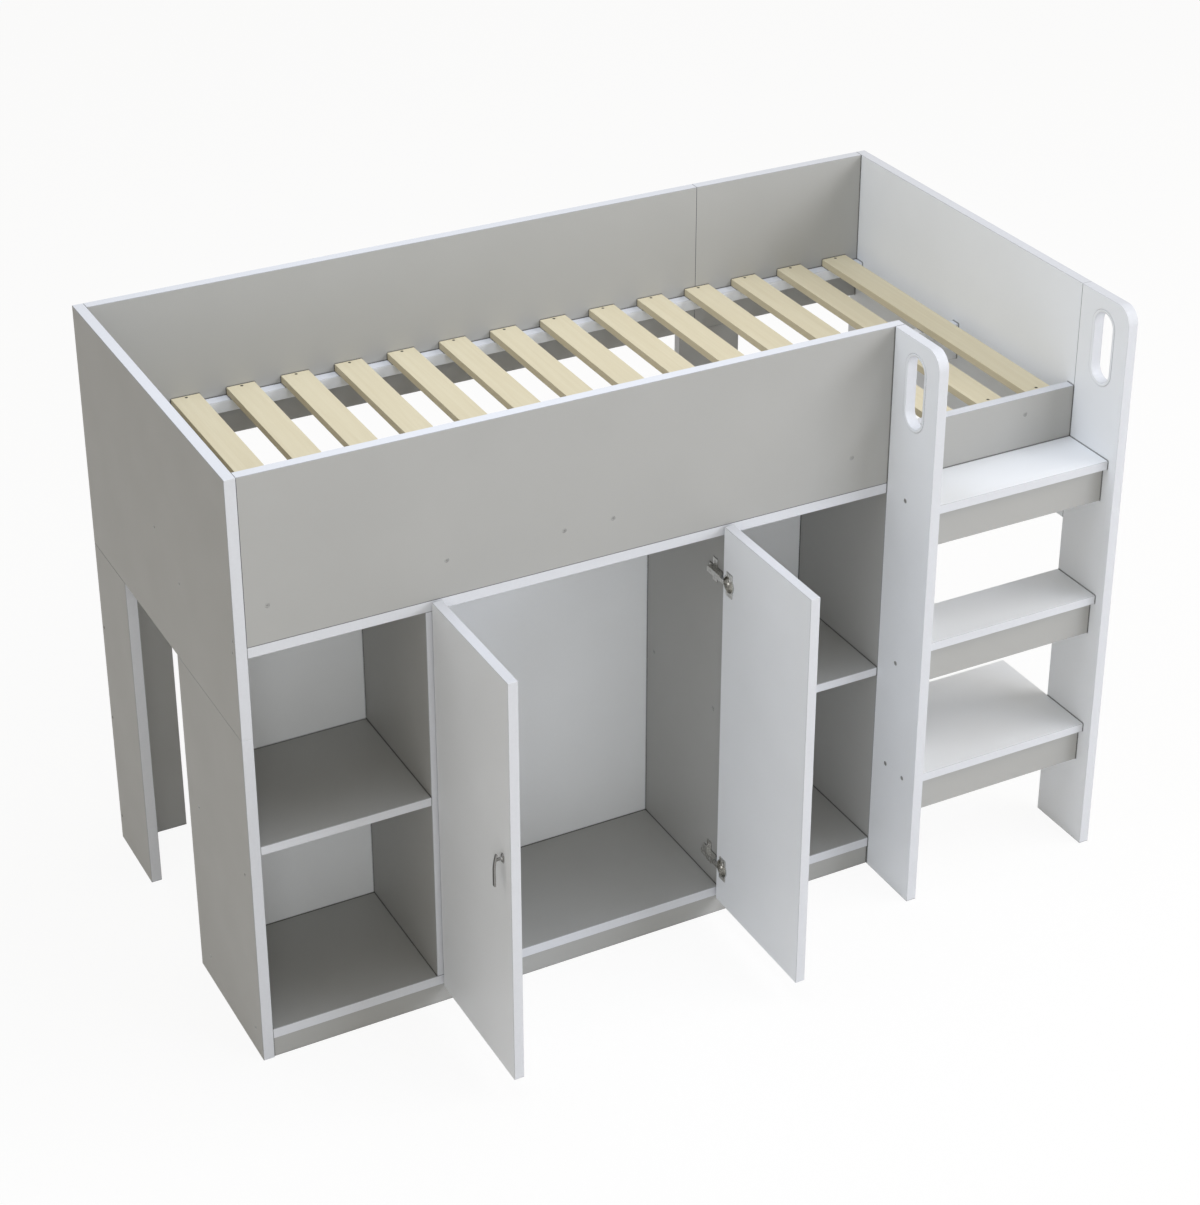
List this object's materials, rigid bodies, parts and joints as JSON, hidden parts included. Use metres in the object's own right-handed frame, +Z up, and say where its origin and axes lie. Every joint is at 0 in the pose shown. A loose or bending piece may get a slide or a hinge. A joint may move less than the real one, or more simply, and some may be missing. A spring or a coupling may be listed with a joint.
{
  "type": "loft bed",
  "caption": "Mid-height loft bed of panel board with solid guards, a slatted base, an open wardrobe and shelf cabinet under its front, and a stepped ladder with hand slots.",
  "frame": {"origin": "on the floor under the middle of the bounding box, with both doors open as in the picture", "axes": "+X along the bed from the head end at the cabinet towards the ladder end, +Y from the front with doors and ladder to the wall side, +Z up"},
  "size_m": [1.8, 1.1316, 1.23],
  "materials": {
    "grey_board": "matt light grey faced board with white edge banding",
    "white_board": "satin white faced board",
    "slat_pine": "planed bare pine",
    "pull_metal": "satin dark nickel plate",
    "hinge_steel": "nickel-plated pressed steel",
    "fastener_steel": "zinc-plated steel"
  },
  "bodies": {
    "root": {"left_end_panel": "grey_board", "left_cabinet_side": "grey_board", "rear_left_leg_side": "grey_board", "rear_left_leg_back": "grey_board", "middle_rear_leg": "grey_board", "back_guard_long": "grey_board", "back_guard_short": "grey_board", "front_guard": "grey_board", "entry_rail": "grey_board", "right_cabinet_side": "grey_board", "cabinet_top": "grey_board", "cabinet_bottom": "grey_board", "plinth": "grey_board", "left_divider": "grey_board", "right_divider": "grey_board", "left_shelf": "grey_board", "right_shelf": "grey_board", "riser_top": "grey_board", "riser_middle": "grey_board", "riser_low": "grey_board", "right_end_panel": "white_board", "rear_right_leg_side": "white_board", "cabinet_back": "white_board", "ladder_side_near": "white_board", "ladder_side_far": "white_board", "tread_top": "white_board", "tread_middle": "white_board", "tread_low": "white_board", "front_ledger": "white_board", "rear_ledger": "white_board", "middle_rail": "white_board", "hinge_arms": "hinge_steel", "hinge_plates": "hinge_steel", "slat_01": "slat_pine", "slat_02": "slat_pine", "slat_03": "slat_pine", "slat_04": "slat_pine", "slat_05": "slat_pine", "slat_06": "slat_pine", "slat_07": "slat_pine", "slat_08": "slat_pine", "slat_09": "slat_pine", "slat_10": "slat_pine", "slat_11": "slat_pine", "slat_12": "slat_pine", "slat_13": "slat_pine", "slat_14": "slat_pine", "slat_15": "slat_pine", "panel_bolts": "fastener_steel", "wood_screws": "fastener_steel"},
    "left_door": {"left_door": "white_board", "left_pull": "pull_metal", "left_hinge_cups": "hinge_steel", "left_hinge_pins": "hinge_steel"},
    "right_door": {"right_door": "white_board", "right_pull": "pull_metal", "right_hinge_cups": "hinge_steel", "right_hinge_pins": "hinge_steel"}
  },
  "joints": [
    {"name": "left_door_hinge", "type": "hinge", "parent": "root", "child": "left_door", "pos_m": [-0.5207, -0.2646, 0.47], "axis": [0, 0, 1], "range_deg": [-5, 90]},
    {"name": "right_door_hinge", "type": "hinge", "parent": "root", "child": "right_door", "pos_m": [0.0847, -0.2646, 0.47], "axis": [0, 0, -1], "range_deg": [-5, 90]}
  ]
}
